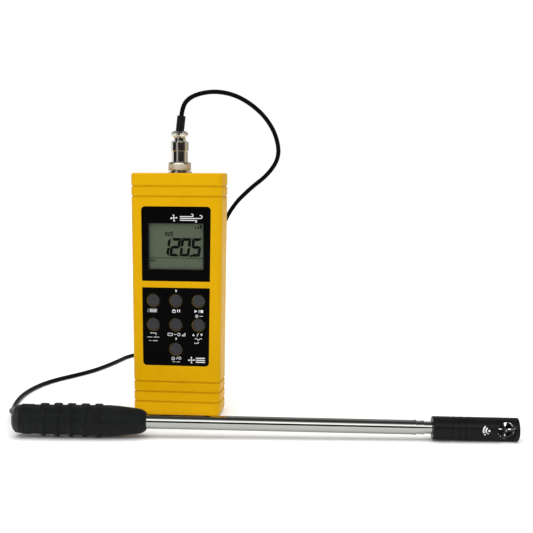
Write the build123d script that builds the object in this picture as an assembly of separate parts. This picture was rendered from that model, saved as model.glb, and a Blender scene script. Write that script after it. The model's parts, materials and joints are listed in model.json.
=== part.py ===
from build123d import *
import math
import os

# A vane anemometer: a handheld meter, a telescopic probe with a small vane head, and the lead between.
# Millimetres, +Z up. The meter stands on its base facing -Y, and the probe lies in front of it.
# Case heights are above the floor, case depths are along Y from the middle of the case.
# Probe stations are distances from the butt of the handle, along the probe's own +X axis.

# ---- Meter case, a flat box that narrows towards its base
CASE_HEIGHT = 190.0
CASE_TOP_WIDTH = 72.6
CASE_BASE_WIDTH = 68.4
CASE_DEPTH = 32.0
CASE_WALL = 2.2
CASE_EDGE_RADIUS = 5.5
CASE_TOP_RADIUS = 1.8
CASE_BASE_RADIUS = 3.6
GROOVE_HEIGHTS = (11.1, 19.0, 26.9, 171.9, 179.8)
GROOVE_DEPTH = 1.0
GROOVE_HALF_WIDTH = 1.0

# ---- Front panels, each a plate in a shallow recess
PANEL_MARGIN = 8.6
PANEL_RECESS = 0.8
PANEL_THICKNESS = 0.6
DISPLAY_LOW, DISPLAY_HIGH = 106.1, 164.2
KEYPAD_LOW, KEYPAD_HIGH = 39.9, 101.1
PANEL_ROUND = 3.0
PANEL_SQUARE = 0.5

# ---- Liquid crystal display
WINDOW_WIDTH = 43.5
WINDOW_LOW, WINDOW_HIGH = 115.1, 151.3
WINDOW_CLEARANCE = 0.1
WINDOW_THICKNESS = 1.2
LCD_BORDER = 1.8
LCD_THICKNESS = 2.8
BACKING_THICKNESS = 1.6
STRIP_HEIGHT = 2.0

# ---- Keys: name, offset from the middle, height
KEY_PITCH = 17.8
KEYS = (
    ("key_menu", -KEY_PITCH, 90.9),
    ("key_lock", 0.0, 90.9),
    ("key_run", KEY_PITCH, 90.9),
    ("key_back", -KEY_PITCH, 72.1),
    ("key_area", 0.0, 72.1),
    ("key_peak", KEY_PITCH, 72.1),
    ("key_power", 0.0, 52.9),
)
KEY_RADIUS = 4.85
KEY_HOLE_RADIUS = 5.1
KEY_OPENING_RADIUS = 5.25
KEY_PROUD = 0.9
KEY_CROWN = 0.5
KEY_FLANGE_RADIUS = 6.0
KEY_FLANGE = 1.0
KEY_PILL_RADIUS = 2.5
KEY_PILL = 1.2

# ---- Circuit board and what stands on it
BOARD_WIDTH = 50.0
BOARD_LOW, BOARD_HIGH = 31.0, 172.0
BOARD_THICKNESS = 1.6
BOARD_FRONT = -9.2
BOARD_SCREW_X = 22.0
BOARD_SCREW_HEIGHTS = (36.0, 166.0)
MAT_LOW, MAT_HIGH = 45.0, 99.0
MAT_WIDTH = 49.0
MAT_THICKNESS = 1.0

# ---- Case screws, in bosses near the corners
BOSS_RADIUS = 3.2
BOSS_X = 29.0
BOSS_HEIGHTS = (15.0, 175.5)
SCREW_HEAD_RADIUS = 2.7
SCREW_SHANK_RADIUS = 1.45
SCREW_HOLE_RADIUS = 1.6
COUNTERBORE_DEPTH = 9.0

# ---- Battery compartment, in the back
BATTERY_SIZE = (26.5, 17.5, 48.5)
BATTERY_LOW = 36.5
BATTERY_BACK = 13.2
COMPARTMENT_HALF = 16.2
COMPARTMENT_LOW, COMPARTMENT_HIGH = 35.0, 90.5
COMPARTMENT_FRONT = -4.8
COMPARTMENT_WALL = 1.2
COVER_LOW, COVER_HIGH = 27.0, 98.5
COVER_HALF = 20.0
COVER_THICKNESS = 1.2
COVER_GAP = 0.3
COVER_SCREW_HEIGHTS = (31.0, 94.6)

# ---- Tripod insert, a 1/4 inch nut in the back
TRIPOD_HEIGHT = 125.0
TRIPOD_BORE_RADIUS = 2.55
TRIPOD_RADIUS = 4.5
TRIPOD_LENGTH = 8.5

# ---- Round connector on the top: radii and heights above the top of the case
FLANGE_RADIUS, FLANGE_HEIGHT = 9.4, 1.3
BARREL_RADIUS, BARREL_TOP, BARREL_BASE = 7.75, 6.8, -10.0
BARREL_BORE = 6.4
BARREL_FLOOR = -3.0
BARREL_REAR_BORE = 5.2
INSERT_STEP = 1.5
PIN_RADIUS = 0.7
PIN_HOLE_RADIUS = 0.8
THREAD_CLEARANCE = 0.05
NUT_RADIUS = 10.4
NUT_THICKNESS = 2.5
PIN_CIRCLE = 3.4
PIN_COUNT = 5
PIN_TAIL = 2.0
PIN_REACH = 5.5
RING_ROUND = 1.3
RING_CHAMFER = 0.4
SHELL_WALL = 0.9
PLUG_INSERT_LENGTH = 9.0
PIN_HOLE_DEPTH = 6.0
RING_RADIUS, RING_LOW, RING_HIGH = 9.0, 1.9, 8.6
RING_WEB = 1.0
SHELL_RADIUS, SHELL_LOW, SHELL_TOP = 6.3, 0.5, 17.0
SHOULDER_RADIUS, SHOULDER_LOW, SHOULDER_HIGH = 7.5, 6.9, 7.5
REAR_SHELL_RADIUS, REAR_SHELL_TOP = 6.95, 24.9
NECK_RADIUS, NECK_TOP = 4.7, 27.5
NECK_BORE = 3.6
REAR_BEVEL = 1.2
GLAND_BEVEL = 1.6
GLAND_RADIUS, GLAND_TOP = 6.75, 32.7
SLEEVE_RADIUS = 3.3
SLEEVE_START = (0.0, 0.0, CASE_HEIGHT + GLAND_TOP - 1.5)

# ---- Cord, from the sleeve over the top, down behind the meter and round to the handle
CORD_RADIUS = 1.8
CORD_ROUTE = (
    (1.4, 0.2, 234.6),
    (2.2, 0.314, 242.2),
    (7.4, 2.2, 249.0),
    (16.2, 6.6, 252.9),
    (27.6, 13.0, 254.6),
    (40.4, 21.6, 252.4),
    (52.4, 30.6, 245.8),
    (63.6, 39.2, 235.4),
    (71.6, 47.2, 221.0),
    (73.6, 55.4, 203.6),
    (63.4, 62.4, 188.8),
    (46.6, 68.2, 176.4),
    (30.4, 73.4, 160.2),
    (19.4, 78.4, 137.4),
    (12.6, 84.2, 110.6),
    (7.4, 91.0, 82.6),
    (3.0, 100.0, 55.0),
    (-2.0, 112.6, 30.0),
    (-7.6, 131.0, 10.6),
    (-13.4, 155.0, 1.9),
    (-20.6, 181.0, 1.9),
    (-32.6, 205.6, 1.9),
    (-50.0, 227.0, 1.9),
    (-71.0, 237.4, 1.9),
    (-88.4, 231.0, 1.9),
    (-97.0, 211.8, 1.9),
    (-99.8, 188.4, 1.9),
    (-104.4, 164.0, 1.9),
    (-110.4, 139.6, 1.9),
    (-121.2, 115.6, 1.9),
    (-132.6, 94.4, 1.9),
    (-139.4, 71.6, 1.9),
    (-141.4, 48.4, 1.9),
    (-140.6, 25.6, 1.9),
    (-136.6, 2.4, 1.9),
    (-130.6, -19.6, 3.0),
    (-124.2, -39.6, 6.4),
    (-118.6, -57.2, 10.4),
    (-112.13, -71.08, 12.6),
    (-106.0, -79.6, 12.75),
)

# ---- Probe: where it lies, and how it is turned from the meter's face
PROBE_BUTT = (-105.0, -89.2)
PROBE_YAW = 5.73
RIB_RADIUS = 12.0
LAST_RIB_STATION = 62.0

# ---- Handle
VALLEY_START, VALLEY_END = 10.35, 11.0
CAP_STEP = 0.2
RIB_SLOPE = 1.0
RIBS = (
    (6.0, 15.4, 10.8),
    (19.6, 25.8, 11.7),
    (29.5, 35.6, RIB_RADIUS),
    (39.3, 45.3, RIB_RADIUS),
    (49.2, 55.2, RIB_RADIUS),
    (59.0, 65.0, RIB_RADIUS),
)
NOSE_STATION, NOSE_RADIUS = 69.0, 11.1
HANDLE_END = 96.8
CAP_LENGTH = 5.6
CORE_RADIUS = 8.0
CORE_START, CORE_END = 8.0, 91.5
CAP_SPIGOT_RADIUS = 6.6
GROMMET_STATION = 5.5
GROMMET_ANGLE = 120.0
GROMMET_LENGTH = 11.0
GROMMET_INSIDE = 2.0
GROMMET_RADIUS = 2.9
GROMMET_NOSE = 3.4
GROMMET_NOSE_RADIUS = 4.0
WIRE_HOLE_RADIUS = 2.5

# ---- Telescopic tubes: outer radius, bore radius, mouth bore radius, root and mouth stations
TUBE_1 = dict(outer=5.2, bore=4.95, mouth_bore=4.85, root=16.0, mouth=290.0)
TUBE_2 = dict(outer=4.8, bore=4.5, mouth_bore=4.45, root=24.0, mouth=295.7)
TUBE_3 = dict(outer=4.4, bore=3.9, mouth_bore=3.9, root=31.0, mouth=309.0)
MOUTH_LENGTH = 6.5
BEAD_LENGTH = 1.9
BEAD_PROUD = 0.25
STOP_LENGTH = 4.0
STOP_CLEARANCE = 0.04

# ---- Vane head
HEAD_RADIUS = 8.25
HEAD_START, HEAD_END = 301.4, 362.6
HEAD_CHAMFER = 0.35
COLLAR_END = 307.5
COLLAR_SPIGOT_END = 312.5
SET_SCREW_STATION = 304.4
SET_SCREW_SUNK = 0.3
SET_SCREW_SLOT_REACH = 1.05
SET_SCREW_SLOT_WIDTH, SET_SCREW_SLOT_DEPTH = 0.4, 0.7
SET_SCREW_RADIUS = 1.25
HEAD_BORE_RADIUS = 6.6
HEAD_BORE_END = 344.6
HEAD_RINGS = (315.0, 319.6, 324.2)
HEAD_RING_DEPTH = 0.4
HEAD_RING_WIDTH = 0.8
SENSOR_BOARD_LENGTH, SENSOR_BOARD_WIDTH, SENSOR_BOARD_THICKNESS = 20.0, 10.0, 1.0
PICKUP_RADIUS, PICKUP_LENGTH = 1.6, 6.0
VANE_STATION = 353.4
OPENING_RADIUS = 6.5
DUCT_WALL = 0.35
DUCT_HALF_LENGTH = 4.8
SPIDER_NEAR, SPIDER_FAR = 3.4, 4.3
SPIDER_HUB_RADIUS = 1.5
SPIDER_ARM_WIDTH = 0.9
SPIDER_ARMS = 3
BEARING_RADIUS = 0.9
SHAFT_RADIUS = 0.4
SHAFT_CLEARANCE = 0.03
ROTOR_RADIUS = 5.45
BLADE_ROOT, BLADE_OVERRUN = 0.8, 0.5
ROTOR_HUB_RADIUS = 1.7
ROTOR_HUB_HALF = 2.5
BLADE_COUNT = 4
BLADE_TILT = 30.0
BLADE_THICKNESS = 0.45
BLADE_SPREAD = 0.80


# ---------------------------------------------------------------- helpers
def round_bar(radius, low, high, x=0.0, y=0.0):
    """An upright cylinder between two heights."""
    return Pos(x, y, (low + high) / 2) * Cylinder(radius, high - low)


def depth_bar(radius, front, back, x, z):
    """A cylinder along Y between two depths."""
    return Pos(x, (front + back) / 2, z) * Rot(90, 0, 0) * Cylinder(radius, back - front)


def long_bar(radius, start, end):
    """A cylinder along the probe between two stations."""
    return Pos((start + end) / 2, 0, 0) * Rot(0, 90, 0) * Cylinder(radius, end - start)


def block(x_low, x_high, y_low, y_high, z_low, z_high):
    """A box between two corners."""
    middle = Pos((x_low + x_high) / 2, (y_low + y_high) / 2, (z_low + z_high) / 2)
    return middle * Box(x_high - x_low, y_high - y_low, z_high - z_low)


def turned(*profile):
    """A solid of revolution about the probe's axis, from its (station, radius) outline."""
    return revolve(make_face(Polyline(*profile, close=True)), axis=Axis.X)


# ---------------------------------------------------------------- meter case
def half_width(height, inset=0.0):
    taper = (CASE_TOP_WIDTH - CASE_BASE_WIDTH) * height / CASE_HEIGHT
    return (CASE_BASE_WIDTH + taper) / 2 - inset


def case_form(inset=0.0):
    """The whole case's form with its long edges rounded, pulled in by inset on every side."""
    low, high = inset, CASE_HEIGHT - inset
    base_half, top_half = half_width(low, inset), half_width(high, inset)
    outline = Polyline((-base_half, low), (base_half, low), (top_half, high), (-top_half, high), close=True)
    form = extrude(Plane.XZ * make_face(outline), amount=CASE_DEPTH / 2 - inset, both=True)
    long_edges = form.edges().filter_by(lambda edge: abs(edge.tangent_at(0.5).Z) > 0.9)
    return fillet(long_edges, CASE_EDGE_RADIUS - inset)


def case_outside():
    form = case_form()
    form = fillet(form.faces().sort_by(Axis.Z)[0].edges(), CASE_BASE_RADIUS)
    return fillet(form.faces().sort_by(Axis.Z)[-1].edges(), CASE_TOP_RADIUS)


def case_section(height, inset):
    width = 2 * half_width(height, inset)
    return Pos(0, 0, height) * RectangleRounded(width, CASE_DEPTH - 2 * inset, CASE_EDGE_RADIUS - inset)


def groove_ring(height):
    """A ring with a V inner edge, which cuts one groove round the case."""
    reach = 1.2 * GROOVE_HALF_WIDTH
    outside = -0.2 * GROOVE_DEPTH
    waist = case_section(height, GROOVE_DEPTH)
    core = loft([case_section(height - reach, outside), waist], ruled=True)
    core += loft([waist, case_section(height + reach, outside)], ruled=True)
    collar = Pos(0, 0, height) * Box(2 * CASE_TOP_WIDTH, 2 * CASE_DEPTH, 2 * reach)
    return collar - core


def panel_plate(low, high, front, back, top_radius, base_radius):
    """A plate that follows the case's taper, between two heights and two depths."""
    base_half, top_half = half_width(low, PANEL_MARGIN), half_width(high, PANEL_MARGIN)
    outline = Polyline((-base_half, low), (base_half, low), (top_half, high), (-top_half, high), close=True)
    plate = Pos(0, back, 0) * extrude(Plane.XZ * make_face(outline), amount=back - front)
    corners = plate.edges().filter_by(Axis.Y).sort_by(Axis.Z)
    plate = fillet(corners[2:], top_radius)
    corners = plate.edges().filter_by(Axis.Y).sort_by(Axis.Z)
    return fillet(corners[:2], base_radius)


def display_plate(front, back):
    return panel_plate(DISPLAY_LOW, DISPLAY_HIGH, front, back, PANEL_ROUND, PANEL_SQUARE)


def keypad_plate(front, back):
    return panel_plate(KEYPAD_LOW, KEYPAD_HIGH, front, back, PANEL_SQUARE, PANEL_ROUND)


def window_block(front, back, clearance=0.0):
    half = WINDOW_WIDTH / 2 - clearance
    return block(-half, half, front, back, WINDOW_LOW + clearance, WINDOW_HIGH - clearance)


def boss_places():
    return [(side * BOSS_X, height) for height in BOSS_HEIGHTS for side in (-1, 1)]


def board_places():
    return [(side * BOARD_SCREW_X, height) for height in BOARD_SCREW_HEIGHTS for side in (-1, 1)]


FRONT = -CASE_DEPTH / 2
BACK = CASE_DEPTH / 2
INNER_FRONT = FRONT + CASE_WALL
INNER_BACK = BACK - CASE_WALL
PANEL_FRONT = FRONT + PANEL_RECESS - PANEL_THICKNESS
PANEL_BACK = FRONT + PANEL_RECESS


def case_shell():
    """Both halves of the hollow case together, grooved, with the connector's hole."""
    shell = case_outside() - case_form(CASE_WALL)
    for height in GROOVE_HEIGHTS:
        shell -= groove_ring(height)
    return shell - round_bar(BARREL_RADIUS + 0.2, CASE_HEIGHT - 2 * CASE_WALL, CASE_HEIGHT + 1)


def front_case(shell):
    """The front half: panel recesses, window, key holes, screw bosses and board posts."""
    case = shell & block(-50, 50, FRONT - 1, 0, -1, CASE_HEIGHT + 1)
    for x, z in boss_places():
        case += depth_bar(BOSS_RADIUS, INNER_FRONT - 0.5, 0, x, z)
        case -= depth_bar(SCREW_SHANK_RADIUS, -10, 0.1, x, z)
    for x, z in board_places():
        case += depth_bar(2.4, INNER_FRONT - 0.5, BOARD_FRONT, x, z)
        case -= depth_bar(0.95, INNER_FRONT + 0.5, BOARD_FRONT + 0.1, x, z)
    case -= display_plate(FRONT - 1, PANEL_BACK)
    case -= keypad_plate(FRONT - 1, PANEL_BACK)
    case -= window_block(FRONT - 1, INNER_FRONT + 0.5)
    for name, x, z in KEYS:
        case -= depth_bar(KEY_HOLE_RADIUS, FRONT - 1, INNER_FRONT + 0.5, x, z)
    return case


def compartment_box(grow):
    """The battery compartment's space, or its walls' outside when grown."""
    half = COMPARTMENT_HALF + grow
    low, high = COMPARTMENT_LOW - grow, COMPARTMENT_HIGH + grow
    return block(-half, half, COMPARTMENT_FRONT - grow, INNER_BACK + 0.5, low, high)


def rear_case(shell):
    """The rear half: battery compartment, cover recess, tripod boss and counterbored screw bosses."""
    case = shell & block(-50, 50, 0, BACK + 1, -1, CASE_HEIGHT + 1)
    case += compartment_box(COMPARTMENT_WALL)
    for x, z in boss_places():
        case += depth_bar(BOSS_RADIUS, 0, INNER_BACK + 0.5, x, z)
        case -= depth_bar(SCREW_HOLE_RADIUS, -1, BACK + 1, x, z)
        case -= depth_bar(SCREW_HEAD_RADIUS + 0.3, BACK - COUNTERBORE_DEPTH, BACK + 1, x, z)
    for z in COVER_SCREW_HEIGHTS:
        case += depth_bar(2.6, BACK - 9, BACK - COVER_THICKNESS - 0.2, 0, z)
        case -= depth_bar(1.05, BACK - 8, BACK + 1, 0, z)
    case += depth_bar(TRIPOD_RADIUS + 1.8, BACK - TRIPOD_LENGTH - 1.2, INNER_BACK + 0.5, 0, TRIPOD_HEIGHT)
    case -= depth_bar(TRIPOD_RADIUS, BACK - TRIPOD_LENGTH, BACK + 1, 0, TRIPOD_HEIGHT)
    case -= compartment_box(0.0)
    case -= block(-COMPARTMENT_HALF, COMPARTMENT_HALF, 5, BACK + 1, COMPARTMENT_LOW, COMPARTMENT_HIGH)
    recess_half = COVER_HALF + COVER_GAP
    recess_front = BACK - COVER_THICKNESS - 0.2
    return case - block(
        -recess_half, recess_half, recess_front, BACK + 1, COVER_LOW - COVER_GAP, COVER_HIGH + COVER_GAP
    )


def display_overlay():
    return display_plate(PANEL_FRONT, PANEL_BACK) - window_block(FRONT, PANEL_BACK + 1)


def lcd_window():
    return window_block(PANEL_FRONT + 0.1, PANEL_FRONT + 0.1 + WINDOW_THICKNESS, WINDOW_CLEARANCE)


def keypad_overlay():
    overlay = keypad_plate(PANEL_FRONT, PANEL_BACK)
    for name, x, z in KEYS:
        overlay -= depth_bar(KEY_OPENING_RADIUS, FRONT - 1, PANEL_BACK + 1, x, z)
    return overlay


def key(x, z):
    """One moulded key: a domed cap, a flange that holds it in the case, and a contact pill."""
    cap_front = PANEL_FRONT - KEY_PROUD
    cap = depth_bar(KEY_RADIUS, cap_front, INNER_FRONT + 0.2, x, z)
    cap = fillet(cap.edges().group_by(Axis.Y)[0], KEY_CROWN)
    flange_front = INNER_FRONT + 0.2
    flange_back = flange_front + KEY_FLANGE
    flange = depth_bar(KEY_FLANGE_RADIUS, flange_front, flange_back, x, z)
    return cap + flange + depth_bar(KEY_PILL_RADIUS, flange_back, flange_back + KEY_PILL, x, z)


# ---------------------------------------------------------------- inside the meter
def lcd_panel():
    half = WINDOW_WIDTH / 2 + LCD_BORDER
    front = INNER_FRONT + 0.2
    low, high = WINDOW_LOW - LCD_BORDER, WINDOW_HIGH + LCD_BORDER
    return block(-half, half, front, front + LCD_THICKNESS, low, high)


def lcd_backing():
    """The white frame that holds the display off the board, with slots for the contact strips."""
    half = WINDOW_WIDTH / 2 + LCD_BORDER
    back = BOARD_FRONT
    low, high = WINDOW_LOW - LCD_BORDER, WINDOW_HIGH + LCD_BORDER
    frame = block(-half, half, back - BACKING_THICKNESS, back, low, high)
    return frame - strip_block(low + 1.0, 0.1) - strip_block(high - 3.0, 0.1)


def strip_block(low, grow=0.0):
    """The space of one contact strip, or of its slot when it is grown."""
    half = WINDOW_WIDTH / 2 - STRIP_HEIGHT + grow
    front, back = BOARD_FRONT - BACKING_THICKNESS - grow, BOARD_FRONT + grow
    return block(-half, half, front, back, low - grow, low + STRIP_HEIGHT + grow)


def zebra_strips():
    """The two rubber strips that carry contacts from the board to the display."""
    low, high = WINDOW_LOW - LCD_BORDER, WINDOW_HIGH + LCD_BORDER
    return [strip_block(low + 1.0), strip_block(high - 3.0)]


def circuit_board():
    half = BOARD_WIDTH / 2
    board = block(-half, half, BOARD_FRONT, BOARD_FRONT + BOARD_THICKNESS, BOARD_LOW, BOARD_HIGH)
    for x, z in board_places():
        board -= depth_bar(1.3, BOARD_FRONT - 1, BOARD_FRONT + BOARD_THICKNESS + 1, x, z)
    return board


def controller_chip():
    front = BOARD_FRONT + BOARD_THICKNESS
    return block(-7, 7, front, front + 1.8, 139, 153)


def keypad_mat():
    half = MAT_WIDTH / 2
    mat = block(-half, half, BOARD_FRONT - MAT_THICKNESS, BOARD_FRONT, MAT_LOW, MAT_HIGH)
    return mat


def screw(head_face, length, head_radius, shank_radius, x, z):
    """A pan-head screw put in from the back, with a cross recess."""
    head_height = 1.4
    head = depth_bar(head_radius, head_face, head_face + head_height, x, z)
    shank = depth_bar(shank_radius, head_face - length, head_face, x, z)
    recess_front = head_face + head_height - 0.7
    cross = block(x - 0.25, x + 0.25, recess_front, head_face + 2, z - 1.1, z + 1.1)
    cross += block(x - 1.1, x + 1.1, recess_front, head_face + 2, z - 0.25, z + 0.25)
    return head + shank - cross


def case_screws():
    face = BACK - COUNTERBORE_DEPTH
    return [screw(face, 14.0, SCREW_HEAD_RADIUS, SCREW_SHANK_RADIUS, x, z) for x, z in boss_places()]


def board_screws():
    face = BOARD_FRONT + BOARD_THICKNESS
    return [screw(face, 4.8, 1.9, 0.95, x, z) for x, z in board_places()]


def battery():
    """A nine volt battery, with its two terminals up."""
    width, depth, height = BATTERY_SIZE
    front = BATTERY_BACK - depth
    cell = block(-width / 2, width / 2, front, BATTERY_BACK, BATTERY_LOW, BATTERY_LOW + height - 2.5)
    cell = fillet(cell.edges().filter_by(Axis.Z), 2.0)
    middle = (front + BATTERY_BACK) / 2
    for x, radius in ((-6.35, 2.9), (6.35, 3.8)):
        cell += round_bar(radius, BATTERY_LOW + height - 2.6, BATTERY_LOW + height, x, middle)
    return cell


def battery_snap():
    width, depth, height = BATTERY_SIZE
    low = BATTERY_LOW + height
    middle = BATTERY_BACK - depth / 2
    return block(-12.5, 12.5, middle - 6, middle + 6, low, low + 2.4)


def battery_cover():
    """The lift-off cover, flush with the back, with a locating lip inside the opening."""
    front = BACK - COVER_THICKNESS
    plate = block(-COVER_HALF, COVER_HALF, front, BACK, COVER_LOW, COVER_HIGH)
    plate = fillet(plate.edges().filter_by(Axis.Y), 0.8)
    half = COMPARTMENT_HALF - 0.4
    low, high = COMPARTMENT_LOW + 0.4, COMPARTMENT_HIGH - 0.4
    lip = block(-half, half, front - 1.0, front, low, high)
    lip -= block(-half + 1.2, half - 1.2, front - 2, front, low + 1.2, high - 1.2)
    cover = plate + lip
    for z in COVER_SCREW_HEIGHTS:
        cover -= depth_bar(1.15, front - 1, BACK + 1, 0, z)
        cover -= depth_bar(2.1, BACK - 0.7, BACK + 1, 0, z)
    return cover


def cover_screws():
    """The two small screws of the battery cover, flush with it."""
    screws = []
    for z in COVER_SCREW_HEIGHTS:
        head = depth_bar(2.0, BACK - 0.7, BACK - 0.1, 0, z)
        shank = depth_bar(1.0, BACK - 6.5, BACK - 0.7, 0, z)
        slot = block(-1.5, 1.5, BACK - 0.4, BACK + 1, z - 0.25, z + 0.25)
        screws.append(head + shank - slot)
    return screws


def tripod_insert():
    front = BACK - TRIPOD_LENGTH
    insert = depth_bar(TRIPOD_RADIUS, front, BACK - 0.1, 0, TRIPOD_HEIGHT)
    return insert - depth_bar(TRIPOD_BORE_RADIUS, front - 1, BACK + 1, 0, TRIPOD_HEIGHT)


# ---------------------------------------------------------------- connector, heights from the case's top
def socket_shell():
    """The panel socket's threaded metal body, with its flange on the case."""
    shell = round_bar(BARREL_RADIUS, BARREL_BASE, BARREL_TOP) + round_bar(FLANGE_RADIUS, 0, FLANGE_HEIGHT)
    shell -= round_bar(BARREL_BORE, BARREL_FLOOR, BARREL_TOP + 1)
    return shell - round_bar(BARREL_REAR_BORE, BARREL_BASE - 1, 0)


def socket_nut():
    """The hexagon nut that clamps the socket from inside the case."""
    hexagon = extrude(RegularPolygon(NUT_RADIUS, 6), NUT_THICKNESS)
    nut = Pos(0, 0, -CASE_WALL - NUT_THICKNESS) * hexagon
    return nut - round_bar(BARREL_RADIUS, BARREL_BASE, 0)


def pin_places():
    turn = 2 * math.pi / PIN_COUNT
    return [(PIN_CIRCLE * math.sin(i * turn), PIN_CIRCLE * math.cos(i * turn)) for i in range(PIN_COUNT)]


def socket_insert():
    """The plastic disc that holds the socket's pins."""
    insert = round_bar(BARREL_REAR_BORE, BARREL_BASE, BARREL_FLOOR)
    insert += round_bar(BARREL_BORE, BARREL_FLOOR, BARREL_FLOOR + INSERT_STEP)
    for x, y in pin_places():
        insert -= round_bar(PIN_RADIUS, BARREL_BASE - 1, BARREL_FLOOR + 3, x, y)
    return insert


def socket_pins():
    low, high = BARREL_BASE - PIN_TAIL, BARREL_FLOOR + PIN_REACH
    return [round_bar(PIN_RADIUS, low, high, x, y) for x, y in pin_places()]


def coupling_ring():
    """The turning ring that locks the plug: its thread clears the socket's barrel."""
    ring = round_bar(RING_RADIUS, RING_LOW, RING_HIGH)
    ring = fillet(ring.edges().group_by(Axis.Z)[-1], RING_ROUND)
    ring = chamfer(ring.edges().group_by(Axis.Z)[0], RING_CHAMFER)
    ring -= round_bar(BARREL_RADIUS + THREAD_CLEARANCE, RING_LOW - 1, RING_HIGH - RING_WEB)
    return ring - round_bar(SHELL_RADIUS + THREAD_CLEARANCE, RING_LOW, RING_HIGH + 1)


def plug_front_shell():
    """The plug's front tube, with the shoulder that the coupling ring pulls on."""
    shell = round_bar(SHELL_RADIUS, SHELL_LOW, SHELL_TOP)
    shell += round_bar(SHOULDER_RADIUS, SHOULDER_LOW, SHOULDER_HIGH)
    return shell - round_bar(SHELL_RADIUS - SHELL_WALL, SHELL_LOW - 1, SHELL_TOP + 1)


def plug_insert():
    """The plastic disc with the plug's contact holes."""
    insert = round_bar(SHELL_RADIUS - SHELL_WALL, SHELL_LOW, SHELL_LOW + PLUG_INSERT_LENGTH)
    for x, y in pin_places():
        insert -= round_bar(PIN_HOLE_RADIUS, SHELL_LOW - 1, SHELL_LOW + PIN_HOLE_DEPTH, x, y)
    return insert


def plug_rear_shell():
    shell = round_bar(REAR_SHELL_RADIUS, SHELL_TOP, REAR_SHELL_TOP)
    shell = chamfer(shell.edges().group_by(Axis.Z)[-1], REAR_BEVEL)
    shell = chamfer(shell.edges().group_by(Axis.Z)[0], RING_CHAMFER)
    shell += round_bar(NECK_RADIUS, REAR_SHELL_TOP, NECK_TOP)
    return shell - round_bar(NECK_BORE, SHELL_TOP - 1, NECK_TOP + 1)


def gland_nut():
    """The clamping nut at the plug's rear, bevelled at both ends, with a seat for the leaning sleeve."""
    nut = chamfer(round_bar(GLAND_RADIUS, NECK_TOP, GLAND_TOP).edges(), GLAND_BEVEL)
    nut -= round_bar(CORD_RADIUS, NECK_TOP - 1, GLAND_TOP)
    return nut - Pos(0, 0, -CASE_HEIGHT) * strain_sleeve()


def strain_sleeve():
    """The soft sleeve over the cord, which leans the way the cord leaves."""
    start, end = Vector(*SLEEVE_START), Vector(*CORD_ROUTE[0])
    along = end - start
    return Plane(origin=start, z_dir=along) * extrude(Circle(SLEEVE_RADIUS), along.length)


def cord_radii():
    """The rounding of each corner of the route, as large as its two runs allow."""
    points = [Vector(*point) for point in CORD_ROUTE]
    radii = []
    for before, corner, after in zip(points, points[1:], points[2:]):
        run_in, run_out = corner - before, after - corner
        half_turn = math.radians(run_in.get_angle(run_out)) / 2
        radii.append(0.45 * min(run_in.length, run_out.length) / math.tan(half_turn))
    return radii


def cord():
    radii = cord_radii()
    path = FilletPolyline(*CORD_ROUTE, radius=radii)
    tube = sweep(Plane(origin=path @ 0, z_dir=path % 0) * Circle(CORD_RADIUS), path=path)
    print("cord radii", [round(radius, 1) for radius in radii])
    print("cord length", round(path.length, 1))
    return tube


# ---------------------------------------------------------------- probe, in its own straight frame
def valley_radius(station):
    """The grip's radius between its ribs, which grows evenly from the first rib to the last."""
    first, last = RIBS[0][0], RIBS[-1][1]
    return VALLEY_START + (VALLEY_END - VALLEY_START) * (station - first) / (last - first)


def handle_grip():
    """The ribbed rubber grip, open at both ends, with a nose that closes on the tube."""
    outline = [(CAP_LENGTH, VALLEY_START)]
    for start, end, top in RIBS:
        outline += [(start, valley_radius(start)), (start + RIB_SLOPE, top)]
        outline += [(end - RIB_SLOPE, top), (end, valley_radius(end))]
    outline += [(NOSE_STATION, NOSE_RADIUS), (77.0, 10.6), (87.4, 9.5), (92.6, 8.7), (95.6, 7.2)]
    outline += [(HANDLE_END, 5.6), (HANDLE_END, TUBE_1["outer"])]
    outline += [(CORE_END, TUBE_1["outer"]), (CORE_END, CORE_RADIUS), (CAP_LENGTH, CORE_RADIUS)]
    return turned(*outline)


def handle_core():
    """The rigid tube inside the grip that holds the first telescopic tube."""
    core = long_bar(CORE_RADIUS, CORE_START, CORE_END)
    core -= long_bar(TUBE_1["outer"], TUBE_1["root"], CORE_END + 1)
    return core - long_bar(WIRE_HOLE_RADIUS, CORE_START - 1, CORE_END)


def grommet_plane(distance=0.0):
    """A plane across the cord's exit from the handle, at a distance along it."""
    angle = math.radians(GROMMET_ANGLE)
    along = Vector(math.cos(angle), math.sin(angle), 0)
    return Plane(origin=Vector(GROMMET_STATION, 0, 0) + along * distance, z_dir=along)


def handle_end_cap():
    """The domed cap on the butt, with a slanted hole for the cord."""
    cap = turned(
        (0, 0), (0, 6.2), (0.7, 8.0), (2.4, 9.8), (CAP_LENGTH, VALLEY_START - CAP_STEP),
        (CAP_LENGTH, CAP_SPIGOT_RADIUS), (CORE_START, CAP_SPIGOT_RADIUS), (CORE_START, 0),
    )
    return cap - grommet_plane(GROMMET_INSIDE) * extrude(Circle(GROMMET_RADIUS), 2 * GROMMET_LENGTH)


def cable_grommet(cap):
    """The tapered stub that the cord leaves the handle through."""
    stub = grommet_plane(GROMMET_INSIDE) * extrude(Circle(GROMMET_RADIUS), GROMMET_LENGTH - GROMMET_INSIDE)
    nose = loft([
        grommet_plane(GROMMET_LENGTH - GROMMET_NOSE) * Circle(GROMMET_NOSE_RADIUS),
        grommet_plane(GROMMET_LENGTH) * Circle(GROMMET_RADIUS),
    ])
    return stub + nose - cap


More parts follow.
